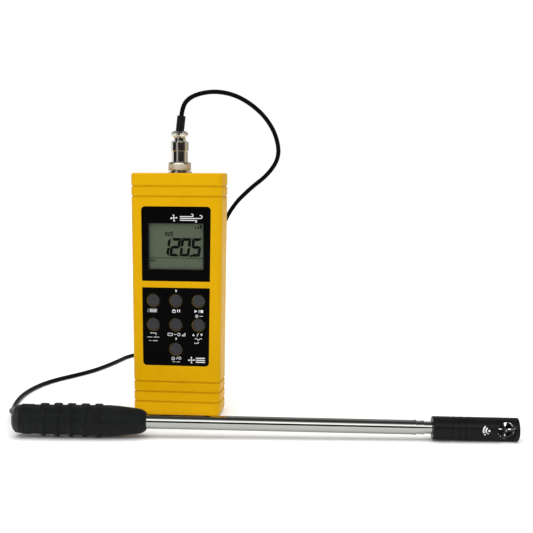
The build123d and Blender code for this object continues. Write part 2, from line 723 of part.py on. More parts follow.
def telescopic_tube(outer, bore, mouth_bore, root, mouth):
    """One thin tube, its bore drawn in at the mouth, with a rolled bead round the mouth."""
    drawn = mouth - MOUTH_LENGTH
    return turned(
        (root, bore), (drawn, bore), (drawn + 0.5, mouth_bore), (mouth, mouth_bore),
        (mouth, outer + BEAD_PROUD / 2), (mouth - 0.4, outer + BEAD_PROUD),
        (mouth - BEAD_LENGTH, outer + BEAD_PROUD), (mouth - BEAD_LENGTH - 0.5, outer), (root, outer),
    )


def plain_tube(outer, bore, mouth_bore, root, mouth):
    return long_bar(outer, root, mouth) - long_bar(bore, root - 1, mouth + 1)


def tube_stop(tube, around):
    """The collar at a tube's root, which fits the bore of the tube around it."""
    root = tube["root"]
    outer = around["bore"] - STOP_CLEARANCE
    return long_bar(outer, root - STOP_LENGTH, root) - long_bar(tube["bore"] - 0.4, root - 5, root + 1)


# ---------------------------------------------------------------- vane head, in the probe's frame
def head_collar():
    """The rear end of the head, which grips the last tube."""
    outer, bore, mouth = TUBE_3["outer"], TUBE_3["bore"], TUBE_3["mouth"]
    collar = turned(
        (HEAD_START, outer), (HEAD_START, HEAD_RADIUS - HEAD_CHAMFER),
        (HEAD_START + HEAD_CHAMFER, HEAD_RADIUS), (COLLAR_END, HEAD_RADIUS),
        (COLLAR_END, HEAD_BORE_RADIUS), (COLLAR_SPIGOT_END, HEAD_BORE_RADIUS),
        (COLLAR_SPIGOT_END, bore), (mouth, bore), (mouth, outer),
    )
    return collar - set_screw_bar(bore - 1, HEAD_RADIUS + 1)


def set_screw_bar(near, far):
    """A round bar on the set screw's axis, between two distances under the tube's axis."""
    return Pos(SET_SCREW_STATION, 0, 0) * Rot(180, 0, 0) * round_bar(SET_SCREW_RADIUS, near, far)


def head_set_screw():
    deep, tip = HEAD_RADIUS - SET_SCREW_SUNK, TUBE_3["outer"]
    screw_body = set_screw_bar(tip, deep)
    near, far = SET_SCREW_STATION - SET_SCREW_SLOT_REACH, SET_SCREW_STATION + SET_SCREW_SLOT_REACH
    half_width, floor = SET_SCREW_SLOT_WIDTH / 2, SET_SCREW_SLOT_DEPTH - deep
    slot = block(near, far, -half_width, half_width, -HEAD_RADIUS, floor)
    return screw_body - slot


def opening_bar(radius, half_length):
    return Pos(VANE_STATION, 0, 0) * Rot(90, 0, 0) * Cylinder(radius, 2 * half_length)


def head_body():
    """The cylinder that carries the vane in an opening through its far end."""
    body = chamfer(long_bar(HEAD_RADIUS, COLLAR_END, HEAD_END).edges().group_by(Axis.X)[-1], HEAD_CHAMFER)
    body -= long_bar(HEAD_BORE_RADIUS, COLLAR_END - 1, HEAD_BORE_END)
    for station in HEAD_RINGS:
        start, end = station - HEAD_RING_WIDTH / 2, station + HEAD_RING_WIDTH / 2
        ring = long_bar(HEAD_RADIUS + 1, start, end)
        ring -= long_bar(HEAD_RADIUS - HEAD_RING_DEPTH, start - 1, end + 1)
        body -= ring
    return body - opening_bar(OPENING_RADIUS, HEAD_RADIUS + 1)


def sensor_board():
    end = HEAD_BORE_END - PICKUP_LENGTH
    half_width, half_height = SENSOR_BOARD_WIDTH / 2, SENSOR_BOARD_THICKNESS / 2
    return block(end - SENSOR_BOARD_LENGTH, end, -half_width, half_width, -half_height, half_height)


def pickup_sensor():
    """The coil beside the opening that feels each blade pass."""
    return long_bar(PICKUP_RADIUS, HEAD_BORE_END - PICKUP_LENGTH, HEAD_BORE_END - 0.5)


def vane_duct():
    duct = opening_bar(OPENING_RADIUS, DUCT_HALF_LENGTH)
    return duct - opening_bar(OPENING_RADIUS - DUCT_WALL, DUCT_HALF_LENGTH + 1)


def at_vane(shape):
    """Moves a shape made round the Z axis to the vane's axis, its +Z towards the probe's -Y."""
    return Pos(VANE_STATION, 0, 0) * Rot(90, 0, 0) * shape


def spider(near, far):
    """A three-armed bridge across the opening that holds one bearing."""
    reach = OPENING_RADIUS - DUCT_WALL
    bridge = round_bar(SPIDER_HUB_RADIUS, near, far)
    for arm in range(SPIDER_ARMS):
        spoke = block(0, reach, -SPIDER_ARM_WIDTH / 2, SPIDER_ARM_WIDTH / 2, near, far)
        bridge += Rot(0, 0, 360 * arm / SPIDER_ARMS) * spoke
    bridge = bridge & round_bar(reach, near, far)
    return at_vane(bridge - round_bar(BEARING_RADIUS, near - 1, far + 1))


def bearing(near, far):
    hole = round_bar(SHAFT_RADIUS + SHAFT_CLEARANCE, near - 1, far + 1)
    return at_vane(round_bar(BEARING_RADIUS, near, far) - hole)


def rotor():
    """The hub and its tilted blades, trimmed to the rotor's radius."""
    wheel = round_bar(ROTOR_HUB_RADIUS, -ROTOR_HUB_HALF, ROTOR_HUB_HALF)
    root, tip = BLADE_ROOT, ROTOR_RADIUS + BLADE_OVERRUN
    outline = Polyline((root, -root * BLADE_SPREAD), (tip, -tip * BLADE_SPREAD), (tip, tip * BLADE_SPREAD),
                       (root, root * BLADE_SPREAD), close=True)
    blade = Rot(BLADE_TILT, 0, 0) * extrude(make_face(outline), BLADE_THICKNESS / 2, both=True)
    for number in range(BLADE_COUNT):
        wheel += Rot(0, 0, 360 * number / BLADE_COUNT + 45) * blade
    wheel = wheel & round_bar(ROTOR_RADIUS, -SPIDER_NEAR, SPIDER_NEAR)
    return at_vane(wheel - round_bar(SHAFT_RADIUS, -SPIDER_NEAR, SPIDER_NEAR))


def rotor_shaft():
    return at_vane(round_bar(SHAFT_RADIUS, -SPIDER_FAR, SPIDER_FAR))


# ---------------------------------------------------------------- the whole model
def lay_probe():
    """Where the probe's own frame lies: on its last rib and the end of its head."""
    drop = (RIB_RADIUS - HEAD_RADIUS) / (HEAD_END - LAST_RIB_STATION)
    butt_height = RIB_RADIUS + drop * LAST_RIB_STATION
    slope = math.degrees(math.atan(drop))
    return Pos(*PROBE_BUTT, butt_height) * Rot(0, 0, PROBE_YAW) * Rot(0, slope, 0)


def meter_nodes():
    shell = case_shell()
    nodes = {
        "front_case": front_case(shell),
        "rear_case": rear_case(shell),
        "display_overlay": display_overlay(),
        "lcd_window": lcd_window(),
        "keypad_overlay": keypad_overlay(),
        "lcd_panel": lcd_panel(),
        "lcd_backing": lcd_backing(),
        "zebra_strips": zebra_strips(),
        "circuit_board": circuit_board(),
        "controller_chip": controller_chip(),
        "keypad_mat": keypad_mat(),
        "case_screws": case_screws(),
        "board_screws": board_screws(),
        "battery": battery(),
        "battery_snap": battery_snap(),
        "battery_cover": battery_cover(),
        "cover_screws": cover_screws(),
        "tripod_insert": tripod_insert(),
    }
    for name, x, z in KEYS:
        nodes[name] = key(x, z)
    return nodes


def connector_nodes():
    on_top = Pos(0, 0, CASE_HEIGHT)
    return {
        "socket_shell": on_top * socket_shell(),
        "socket_nut": on_top * socket_nut(),
        "socket_insert": on_top * socket_insert(),
        "socket_pins": [on_top * pin for pin in socket_pins()],
    }


def lead_nodes():
    on_top = Pos(0, 0, CASE_HEIGHT)
    return {
        "coupling_ring": on_top * coupling_ring(),
        "plug_front_shell": on_top * plug_front_shell(),
        "plug_insert": on_top * plug_insert(),
        "plug_rear_shell": on_top * plug_rear_shell(),
        "gland_nut": on_top * gland_nut(),
        "strain_sleeve": strain_sleeve(),
        "cord": cord(),
    }


def probe_nodes():
    cap = handle_end_cap()
    shapes = {
        "handle_grip": handle_grip(),
        "handle_core": handle_core(),
        "handle_end_cap": cap,
        "cable_grommet": cable_grommet(cap),
        "tube_1": telescopic_tube(**TUBE_1),
        "tube_2": telescopic_tube(**TUBE_2),
        "tube_3": plain_tube(**TUBE_3),
        "tube_2_stop": tube_stop(TUBE_2, TUBE_1),
        "tube_3_stop": tube_stop(TUBE_3, TUBE_2),
        "head_collar": head_collar(),
        "head_set_screw": head_set_screw(),
        "head_body": head_body(),
        "sensor_board": sensor_board(),
        "pickup_sensor": pickup_sensor(),
        "vane_duct": vane_duct(),
        "front_spider": spider(SPIDER_NEAR, SPIDER_FAR),
        "rear_spider": spider(-SPIDER_FAR, -SPIDER_NEAR),
        "front_bearing": bearing(SPIDER_NEAR, SPIDER_FAR),
        "rear_bearing": bearing(-SPIDER_FAR, -SPIDER_NEAR),
        "rotor": rotor(),
        "rotor_shaft": rotor_shaft(),
    }
    lie = lay_probe()
    return {name: lie * shape for name, shape in shapes.items()}


def as_shape(node):
    return Compound(node) if isinstance(node, list) else node


def origin_shift(nodes):
    """Moves the bottom centre of the object, without its lead, to the origin."""
    boxes = [as_shape(node).bounding_box() for node in nodes.values()]
    x_middle = (min(box.min.X for box in boxes) + max(box.max.X for box in boxes)) / 2
    y_middle = (min(box.min.Y for box in boxes) + max(box.max.Y for box in boxes)) / 2
    return Pos(-x_middle, -y_middle, 0)


def main():
    os.makedirs("parts", exist_ok=True)
    object_nodes = {**meter_nodes(), **connector_nodes(), **probe_nodes()}
    shift = origin_shift(object_nodes)
    print("origin shift", shift.position)
    for name, node in {**object_nodes, **lead_nodes()}.items():
        export_step(shift * as_shape(node), f"parts/{name}.step")


main()
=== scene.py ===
import json
import math

import bpy
from mathutils import Matrix, Vector


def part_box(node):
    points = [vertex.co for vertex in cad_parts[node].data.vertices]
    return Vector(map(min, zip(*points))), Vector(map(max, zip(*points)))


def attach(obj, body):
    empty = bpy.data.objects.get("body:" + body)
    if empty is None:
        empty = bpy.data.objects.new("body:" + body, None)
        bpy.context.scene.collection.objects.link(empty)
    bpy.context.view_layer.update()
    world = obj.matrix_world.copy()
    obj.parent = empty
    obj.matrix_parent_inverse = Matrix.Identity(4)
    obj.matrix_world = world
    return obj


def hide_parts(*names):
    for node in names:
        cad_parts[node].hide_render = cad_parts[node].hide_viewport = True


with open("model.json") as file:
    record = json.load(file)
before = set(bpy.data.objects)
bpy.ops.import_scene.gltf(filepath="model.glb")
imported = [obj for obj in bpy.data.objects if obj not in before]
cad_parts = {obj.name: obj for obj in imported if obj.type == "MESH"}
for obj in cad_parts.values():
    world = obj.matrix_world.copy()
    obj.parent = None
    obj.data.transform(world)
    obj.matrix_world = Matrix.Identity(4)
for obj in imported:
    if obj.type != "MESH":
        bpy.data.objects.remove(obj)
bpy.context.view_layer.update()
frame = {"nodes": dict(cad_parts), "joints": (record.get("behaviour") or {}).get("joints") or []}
NODES = frame["nodes"]
MM = 0.001

# ---------------------------------------------------------------- the meter's and the probe's frames, in mm
front_low, front_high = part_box("front_case")
rear_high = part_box("rear_case")[1]
METER = Matrix.Translation(
    ((front_low.x + front_high.x) / 2, (front_low.y + rear_high.y) / 2, front_low.z)
) @ Matrix.Scale(MM, 4)

JOINTS = {joint["name"]: joint for joint in frame["joints"]}
ALONG = Vector(JOINTS["tube_2_slide"]["axis"]).normalized()
ACROSS = Vector(JOINTS["vane_spin"]["axis"]).normalized()
PROBE_UP = ALONG.cross(ACROSS)
VANE_STATION = 353.4
PROBE = (
    Matrix.Translation(Vector(JOINTS["vane_spin"]["pos_m"]) - VANE_STATION * MM * ALONG)
    @ Matrix((ALONG, ACROSS, PROBE_UP)).transposed().to_4x4()
    @ Matrix.Scale(MM, 4)
)

# ---------------------------------------------------------------- camera
CAMERA_PLACE = (151.0, -775.0, 192.0)
CAMERA_PAN, CAMERA_TILT, CAMERA_ROLL = math.radians(-7.0), math.radians(3.9), math.radians(0.23)
CAMERA_LENS, CAMERA_SENSOR = 67.54, 36
CAMERA_SHIFT = (0.031, -0.0518)
CAMERA_NEAR = 0.01


def make_camera():
    """The photograph's view: a place in the meter's frame, then pan, tilt and roll."""
    pan, tilt, roll = CAMERA_PAN, CAMERA_TILT, CAMERA_ROLL
    ahead = Vector((math.sin(pan) * math.cos(tilt), math.cos(pan) * math.cos(tilt), -math.sin(tilt)))
    level = Vector((math.cos(pan), -math.sin(pan), 0))
    upward = level.cross(ahead)
    right = math.cos(roll) * level + math.sin(roll) * upward
    top = math.cos(roll) * upward - math.sin(roll) * level
    data = bpy.data.cameras.new("camera")
    data.lens = CAMERA_LENS
    data.sensor_width = CAMERA_SENSOR
    data.shift_x, data.shift_y = CAMERA_SHIFT
    data.clip_start = CAMERA_NEAR
    camera = bpy.data.objects.new("camera", data)
    turn = Matrix((right, top, -ahead)).transposed().to_4x4()
    camera.matrix_world = Matrix.Translation(METER @ Vector(CAMERA_PLACE)) @ turn
    bpy.context.scene.collection.objects.link(camera)
    bpy.context.scene.camera = camera


make_camera()

# ---------------------------------------------------------------- materials
BEVEL_SAMPLES = 4
GRAIN_SHARE, GRAIN_DARKENING = 0.35, 1.6  # the most grain colour, and its depth against the mottle's
GLOSS_SIZE = 0.4  # the gloss patches against the mottle's
EDGE_HIGHLIGHT_SHARE = (0.55, 0.0)  # how much of the painted edge highlight shows, at an edge and on a face
EDGE_HIGHLIGHT_DOT = (0.80, 0.99)  # the rounded normal's dot with the flat one, at those two places


def feed(tree, socket, value):
    """Link a node's output to a socket, or set the socket to a plain value."""
    if isinstance(value, bpy.types.NodeSocket):
        tree.links.new(value, socket)
    else:
        socket.default_value = value


def blend(tree, share, first, second):
    """A mix of two colours."""
    node = tree.nodes.new("ShaderNodeMix")
    node.data_type = "RGBA"
    for index, value in ((0, share), (6, first), (7, second)):
        feed(tree, node.inputs[index], value)
    return node.outputs[2]


class Shader:
    """One procedural material: a Principled shader and short ways to add nodes to it."""

    def __init__(self, name):
        self.material = bpy.data.materials.new(name)
        self.material.use_nodes = True
        self.tree = self.material.node_tree
        self.surface = self.tree.nodes["Principled BSDF"]
        self.place = self.tree.nodes.new("ShaderNodeTexCoord").outputs["Object"]

    def set(self, **values):
        """Set the shader's own sockets, with _ for a space in their names."""
        for name, value in values.items():
            self.surface.inputs[name.replace("_", " ")].default_value = value

    def link(self, name, value):
        """Feed one of the shader's own sockets from a node."""
        feed(self.tree, self.surface.inputs[name], value)

    def node(self, kind, **links):
        """A new node with its named sockets fed."""
        made = self.tree.nodes.new("ShaderNode" + kind)
        for name, value in links.items():
            feed(self.tree, made.inputs[name.replace("_", " ")], value)
        return made

    def noise(self, scale, detail=4.0, stretch=(1, 1, 1)):
        """Noise in the object's own space."""
        mapping = self.node("Mapping", Vector=self.place, Scale=stretch)
        noise = self.node("TexNoise", Vector=mapping.outputs[0], Scale=scale, Detail=detail)
        return noise.outputs[0]

    def spread(self, value, low, high, start=0.3, end=0.7):
        """A value moved from start..end to low..high."""
        node = self.node("MapRange", Value=value)
        for socket, number in zip(list(node.inputs)[1:5], (start, end, low, high)):
            socket.default_value = number
        return node.outputs[0]

    def wear(self, normal):
        """How much painted highlight shows where a rounded normal leaves the flat one: a lighter colour that
        stands in for light catching rounded edges.
        """
        flat = self.node("NewGeometry").outputs["Normal"]
        dot = self.tree.nodes.new("ShaderNodeVectorMath")
        dot.operation = "DOT_PRODUCT"
        feed(self.tree, dot.inputs[0], normal)
        feed(self.tree, dot.inputs[1], flat)
        return self.spread(dot.outputs["Value"], *EDGE_HIGHLIGHT_SHARE, *EDGE_HIGHLIGHT_DOT)

    def bump(self, height, distance, below=None):
        """A bump, on top of another normal if one is given."""
        node = self.node("Bump", Height=height, Distance=distance)
        if below is not None:
            feed(self.tree, node.inputs["Normal"], below)
        return node.outputs[0]


def shade(colour, factor):
    """A colour made lighter or darker, with its alpha."""
    return tuple(min(1.0, channel * factor) for channel in colour) + (1.0,)


def surface(
    name, colour, rough, metal=0.0, specular=0.5, mottle=0.08, mottle_size=18.0, rough_spread=0.06,
    grain_size=0.35, grain_height=0.01, stretch=(1, 1, 1), streak=None, alpha=1.0, edge=0.0,
    edge_highlight_colour=None, sheen=0.0, ior=1.5,
):
    """A material with mottled colour, uneven gloss and a fine bump. Sizes are in mm.

    A streak is (size, height, stretch). The edge is the radius that the shading rounds edges to. The edge
    highlight colour is painted on those rounded edges as a lighter highlight.
    """
    shader = Shader(name)
    tree = shader.tree
    shader.set(Metallic=metal, Specular_IOR_Level=specular, Alpha=alpha, Sheen_Weight=sheen, IOR=ior)
    broad = shader.noise(1000 / mottle_size, 5.0)
    tone = blend(tree, shader.spread(broad, 0, 1), shade(colour, 1 - mottle), shade(colour, 1 + mottle))
    fine = shader.noise(1000 / grain_size, 3.0, stretch)
    tone = blend(tree, shader.spread(fine, 0, GRAIN_SHARE), tone, shade(colour, 1 - GRAIN_DARKENING * mottle))
    normal = None
    if edge:
        rounded = shader.node("Bevel", Radius=edge * MM)
        rounded.samples = BEVEL_SAMPLES
        normal = rounded.outputs[0]
        if edge_highlight_colour:
            # painted highlight: a lighter colour on the rounded edges, standing in for light catching them
            tone = blend(tree, shader.wear(normal), tone, edge_highlight_colour + (1.0,))
    shader.link("Base Color", tone)
    gloss = shader.noise(1000 / (mottle_size * GLOSS_SIZE), 4.0)
    lowest, highest = max(0.02, rough - rough_spread), min(1.0, rough + rough_spread)
    shader.link("Roughness", shader.spread(gloss, lowest, highest))
    if streak:
        size, height, along = streak
        normal = shader.bump(shader.noise(1000 / size, 2.0, along), height * MM, normal)
    shader.link("Normal", shader.bump(fine, grain_height * MM, normal))
    return shader.material


YELLOW = (0.655, 0.352, 0.0008)
MATERIALS = {
    # the case gets a lighter yellow painted on its rounded edges as a highlight
    "case": surface(
        "case_plastic", YELLOW, 0.38, specular=0.05, mottle=0.035, grain_size=0.5, grain_height=0.018,
        edge=0.55, edge_highlight_colour=(0.73, 0.43, 0.012),
    ),
    "overlay": surface(
        "overlay_gloss", (0.0012, 0.0012, 0.0012), 0.18, specular=0.02, mottle=0.25, rough_spread=0.05,
        grain_size=0.9, grain_height=0.004,
    ),
    "window": surface(
        "window_clear", (0.02, 0.022, 0.02), 0.10, specular=0.10, mottle=0.3, grain_size=1.5,
        grain_height=0.002, alpha=0.04,
    ),
    "lcd": surface(
        "lcd_film", (0.096, 0.116, 0.077), 0.42, specular=0.06, mottle=0.04, mottle_size=14,
        grain_size=0.25, grain_height=0.004,
    ),
    "gasket": surface("gasket_dark", (0.02, 0.021, 0.02), 0.5, specular=0.15, mottle=0.15),
    "lcd_ink": surface("lcd_segments", (0.001, 0.0011, 0.001), 0.4, specular=0.04, mottle=0.2),
    "diffuser": surface("diffuser_white", (0.72, 0.72, 0.69), 0.5),
    "key": surface(
        "key_rubber", (0.030, 0.031, 0.034), 0.46, specular=0.18, mottle=0.10, mottle_size=4,
        grain_size=0.3, grain_height=0.014,
    ),
    "legend": surface("legend_ink", (0.74, 0.75, 0.76), 0.5, mottle=0.05, grain_size=0.2),
    "zebra": surface("zebra_rubber", (0.12, 0.08, 0.07), 0.6, stretch=(6, 1, 1)),
    "board": surface(
        "board_green", (0.01, 0.075, 0.03), 0.32, mottle=0.25, mottle_size=5, grain_size=0.8,
        grain_height=0.03,
    ),
    "chip": surface("chip_epoxy", (0.012, 0.012, 0.013), 0.5, grain_size=0.2, grain_height=0.01),
    "mat": surface("mat_rubber", (0.03, 0.03, 0.034), 0.6, sheen=0.1),
    "screw": surface(
        "screw_steel", (0.52, 0.51, 0.49), 0.3, metal=1.0, mottle=0.1, mottle_size=3, grain_size=0.2,
        grain_height=0.01, edge=0.1,
    ),
    "battery": surface("battery_jacket", (0.03, 0.033, 0.045), 0.35, metal=0.3, mottle=0.2, mottle_size=9),
    "snap": surface("snap_vinyl", (0.012, 0.012, 0.012), 0.45),
    "brass": surface(
        "brass_turned", (0.62, 0.40, 0.13), 0.28, metal=1.0, mottle=0.12, mottle_size=3, grain_size=0.2,
        grain_height=0.008,
    ),
    "insulator": surface("insulator_plastic", (0.012, 0.012, 0.013), 0.42, specular=0.3),
    "connector": surface(
        "connector_nickel", (0.70, 0.67, 0.61), 0.05, metal=1.0, mottle=0.05, mottle_size=4,
        rough_spread=0.02, grain_size=0.3, grain_height=0.0015, streak=(0.5, 0.0012, (0.02, 0.02, 1)),
        edge=0.12,
    ),
    "knurl": surface(
        "connector_knurled", (0.66, 0.62, 0.53), 0.19, metal=1.0, mottle=0.10, mottle_size=2,
        rough_spread=0.07, grain_size=0.25, grain_height=0.005,
    ),
    "sleeve": surface(
        "sleeve_rubber", (0.005, 0.005, 0.0056), 0.42, specular=0.3, ior=1.25, mottle=0.2, mottle_size=3,
        grain_size=0.3, grain_height=0.012, streak=(0.6, 0.02, (1, 1, 0.05)),
    ),
    "cord": surface(
        "cord_pvc", (0.003, 0.003, 0.0034), 0.30, specular=0.07, ior=1.3, mottle=0.25, mottle_size=6,
        grain_size=0.4, grain_height=0.006,
    ),
    "grip": surface(
        "grip_rubber", (0.0056, 0.0066, 0.0063), 0.52, specular=0.11, mottle=0.22, mottle_size=10,
        rough_spread=0.10, grain_size=0.55, grain_height=0.05, sheen=0.03,
    ),
    "core": surface(
        "core_plastic", (0.012, 0.012, 0.012), 0.45, specular=0.3, grain_size=0.4, grain_height=0.02,
    ),
    "tube": surface(
        "tube_chrome", (0.42, 0.43, 0.40), 0.07, metal=1.0, mottle=0.03, mottle_size=20,
        rough_spread=0.03, grain_size=0.4, grain_height=0.0008, streak=(0.35, 0.0006, (0.02, 1, 1)),
        edge=0.15,
    ),
    "stop": surface("stop_brass", (0.60, 0.40, 0.14), 0.3, metal=1.0),
    "head": surface(
        "head_anodised", (0.0060, 0.0064, 0.0064), 0.34, specular=0.11, mottle=0.16, mottle_size=12,
        rough_spread=0.08, grain_size=0.3, grain_height=0.006, streak=(0.30, 0.004, (1, 0.02, 0.02)),
        edge=0.12,
    ),
    "duct": surface("duct_plastic", (0.010, 0.010, 0.0105), 0.36, specular=0.3, mottle=0.2, mottle_size=4),
    "vane": surface("vane_plastic", (0.008, 0.008, 0.0085), 0.34, specular=0.3, mottle=0.2, mottle_size=2),
    "shaft": surface("shaft_steel", (0.6, 0.6, 0.6), 0.15, metal=1.0, grain_size=0.1),
}

WEARS = {
    "case": ("front_case", "rear_case", "battery_cover"),
    "overlay": ("display_overlay", "keypad_overlay"),
    "window": ("lcd_window",),
    "lcd": ("lcd_panel",),
    "diffuser": ("lcd_backing",),
    "zebra": ("zebra_strips",),
    "board": ("circuit_board", "sensor_board"),
    "chip": ("controller_chip", "pickup_sensor"),
    "mat": ("keypad_mat",),
    "screw": ("case_screws", "board_screws", "cover_screws", "head_set_screw"),
    "battery": ("battery",),
    "snap": ("battery_snap",),
    "brass": ("tripod_insert", "socket_pins"),
    "insulator": ("socket_insert", "plug_insert"),
    "connector": (
        "socket_shell", "socket_nut", "plug_front_shell", "plug_rear_shell", "gland_nut", "coupling_ring",
    ),
    "sleeve": ("strain_sleeve",),
    "cord": ("cord", "cable_grommet"),
    "grip": ("handle_grip",),
    "core": ("handle_core", "handle_end_cap"),
    "tube": ("tube_1", "tube_2", "tube_3"),
    "stop": ("tube_2_stop", "tube_3_stop"),
    "head": ("head_collar", "head_body"),
    "duct": ("vane_duct", "front_spider", "rear_spider"),
    "vane": ("rotor", "front_bearing", "rear_bearing"),
    "shaft": ("rotor_shaft",),
    "key": tuple(name for name in NODES if name.startswith("key_")),
}
for wear, names in WEARS.items():
    for name in names:
        data = NODES[name].data
        data.materials.clear()
        data.materials.append(MATERIALS[wear])

# ---------------------------------------------------------------- mesh helpers


def piece(name, vertices, faces, matrix, material, body, slot, smooth=35.0, nodes=()):
    """A mesh object made from points in one of the mm frames, riding on a body."""
    mesh = bpy.data.meshes.new(name)
    mesh.from_pydata([matrix @ Vector(v) for v in vertices], [], faces)
    mesh.validate()
    mesh.materials.append(MATERIALS[material])
    mesh.polygons.foreach_set("use_smooth", [True] * len(mesh.polygons))
    mesh.set_sharp_from_angle(angle=math.radians(smooth))
    made = bpy.data.objects.new(name, mesh)
    bpy.context.scene.collection.objects.link(made)
    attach(made, body)
    if nodes:
        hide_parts(*nodes)
    return made


def woven(rows, columns, first, closed_rows=False):
    """Quad faces of a grid whose columns close on themselves."""
    faces = []
    for row in range(rows if closed_rows else rows - 1):
        below = (row + 1) % rows
        for column in range(columns):
            beside = (column + 1) % columns
            faces.append((
                first + row * columns + column, first + row * columns + beside,
                first + below * columns + beside, first + below * columns + column,
            ))
    return faces


def ring_solid(profile, columns, radius_at=None):
    """A solid ring turned round Z from a closed (radius, height) profile, anticlockwise."""
    vertices = []
    for index, (radius, height) in enumerate(profile):
        for column in range(columns):
            angle = 2 * math.pi * column / columns
            r = radius_at(index, radius, height, angle) if radius_at else radius
            vertices.append((r * math.cos(angle), r * math.sin(angle), height))
    return vertices, woven(len(profile), columns, 0, True)


def prism(outline, near, far):
    """A flat plate in the XZ plane with its outline given anticlockwise as (x, z)."""
    count = len(outline)
    vertices = [(x, near, z) for x, z in outline] + [(x, far, z) for x, z in outline]
    faces = [tuple(range(count)), tuple(range(2 * count - 1, count - 1, -1))]
    for i in range(count):
        j = (i + 1) % count
        faces.append((i, i + count, j + count, j))
    return vertices, faces


def ribbon(points, width, closed=False):
    """The outline quads of a stroke of one width along (x, z) points, with mitred corners."""
    count = len(points)
    sides = []
    for i, point in enumerate(points):
        here = Vector(point)
        before = Vector(points[i - 1]) if closed or i else None
        after = Vector(points[(i + 1) % count]) if closed or i < count - 1 else None
        into = (here - before).normalized() if before is not None else (after - here).normalized()
        out = (after - here).normalized() if after is not None else into
        bisector = (into + out).normalized()
        across = Vector((-bisector.y, bisector.x))
        reach = width / 2 / max(0.45, across.dot(Vector((-into.y, into.x))))
        sides.append((here + across * reach, here - across * reach))
    quads = []
    for i in range(count if closed else count - 1):
        a, b = sides[i], sides[(i + 1) % count]
        quads.append(((a[1].x, a[1].y), (b[1].x, b[1].y), (b[0].x, b[0].y), (a[0].x, a[0].y)))
    return quads


def strokes_mesh(shapes, near, far):
    """Plates and strokes together: each shape is (points, width, closed), width 0 for a filled outline."""
    vertices, faces = [], []
    for points, width, closed in shapes:
        for outline in ([points] if width == 0 else ribbon(points, width, closed)):
            area = sum(
                p[0] * q[1] - q[0] * p[1] for p, q in zip(outline, list(outline[1:]) + [outline[0]])
            )
            solid = prism(outline if area > 0 else outline[::-1], near, far)
            faces += [tuple(i + len(vertices) for i in face) for face in solid[1]]
            vertices += solid[0]
    return vertices, faces


ROUND = (0, 345, 23)  # an arc's start, end and steps for 24 points round a circle


def arc(x, z, radius, start, end, steps=14):
    """Points on an arc, angles in degrees from +X towards +Z."""
    turns = [math.radians(start + (end - start) * i / steps) for i in range(steps + 1)]
    return [(x + radius * math.cos(t), z + radius * math.sin(t)) for t in turns]


def disc(x, z, radius):
    """A filled circle."""
    return (arc(x, z, radius, *ROUND), 0, True)


def ring(x, z, radius, width):
    """A circle drawn as a stroke."""
    return (arc(x, z, radius, *ROUND), width, True)


def line(width, *points):
    """An open stroke."""
    return (list(points), width, False)


def filled(*points):
    """A filled outline."""
    return (list(points), 0, True)


def slab(left, low, right, high):
    """A filled rectangle."""
    return filled((left, low), (right, low), (right, high), (left, high))


def box_line(x, z, half, tall, width):
    """A rectangle drawn as a stroke, from its middle and half sizes."""
    return (slab(x - half, z - tall, x + half, z + tall)[0], width, True)


def turned(points, x, z, size, degrees):
    """Points scaled, turned from +X towards +Z and moved to (x, z)."""
    c, s = math.cos(math.radians(degrees)), math.sin(math.radians(degrees))
    return [(x + size * (px * c - pz * s), z + size * (px * s + pz * c)) for px, pz in points]


# ---------------------------------------------------------------- the cord
CORD_RADIUS = 0.0018
CORD_ROUTE_M = (
    (0.0014, 0.0002, 0.2346), (0.0022, 0.000314, 0.2422), (0.0074, 0.0022, 0.2490),
    (0.0162, 0.0066, 0.2529), (0.0276, 0.0130, 0.2546), (0.0404, 0.0216, 0.2524),
    (0.0524, 0.0306, 0.2458), (0.0636, 0.0392, 0.2354), (0.0716, 0.0472, 0.2210),
    (0.0736, 0.0554, 0.2036), (0.0634, 0.0624, 0.1888), (0.0466, 0.0682, 0.1764),
    (0.0304, 0.0734, 0.1602), (0.0194, 0.0784, 0.1374), (0.0126, 0.0842, 0.1106),
    (0.0074, 0.0910, 0.0826), (0.0030, 0.1000, 0.0550), (-0.0020, 0.1126, 0.0300),
    (-0.0076, 0.1310, 0.0106), (-0.0134, 0.1550, 0.0019), (-0.0206, 0.1810, 0.0019),
    (-0.0326, 0.2056, 0.0019), (-0.0500, 0.2270, 0.0019), (-0.0710, 0.2374, 0.0019),
    (-0.0884, 0.2310, 0.0019), (-0.0970, 0.2118, 0.0019), (-0.0998, 0.1884, 0.0019),
    (-0.1044, 0.1640, 0.0019), (-0.1104, 0.1396, 0.0019), (-0.1212, 0.1156, 0.0019),
    (-0.1326, 0.0944, 0.0019), (-0.1394, 0.0716, 0.0019), (-0.1414, 0.0484, 0.0019),
    (-0.1406, 0.0256, 0.0019), (-0.1366, 0.0024, 0.0019), (-0.1306, -0.0196, 0.0030),
    (-0.1242, -0.0396, 0.0064), (-0.1186, -0.0572, 0.0104), (-0.11213, -0.07108, 0.0126),
    (-0.1060, -0.0796, 0.01275),
)


def make_cord():
    """The signal cord as one NURBS curve from the handle's grommet to the plug's sleeve."""
    centre = METER.translation
    points = [Vector((x + centre.x, y + centre.y, z)) for x, y, z in reversed(CORD_ROUTE_M)]
    data = bpy.data.curves.new("signal_cord", "CURVE")
    data.dimensions = "3D"
    spline = data.splines.new("NURBS")
    spline.points.add(len(points) - 1)
    for control, point in zip(spline.points, points):
        control.co = (*point, 1.0)
    spline.order_u = 3
    spline.use_endpoint_u = True
    spline.resolution_u = 8
    data.bevel_depth = CORD_RADIUS
    data.bevel_resolution = 5
    data.use_fill_caps = True
    data.materials.append(MATERIALS["cord"])
    made = bpy.data.objects.new("signal_cord", data)
    bpy.context.scene.collection.objects.link(made)
    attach(made, "instrument")
    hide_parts("cord")
    return made, points[0]


signal_cord, cord_exit = make_cord()

# ---------------------------------------------------------------- connector
CASE_TOP = 190.0
TEETH, KNURL_DEPTH, KNURL_LEAN = 44, 0.34, 0.26
NOTCHES, NOTCH_DEPTH, NOTCH_RADIUS = 6, 0.75, 6.75


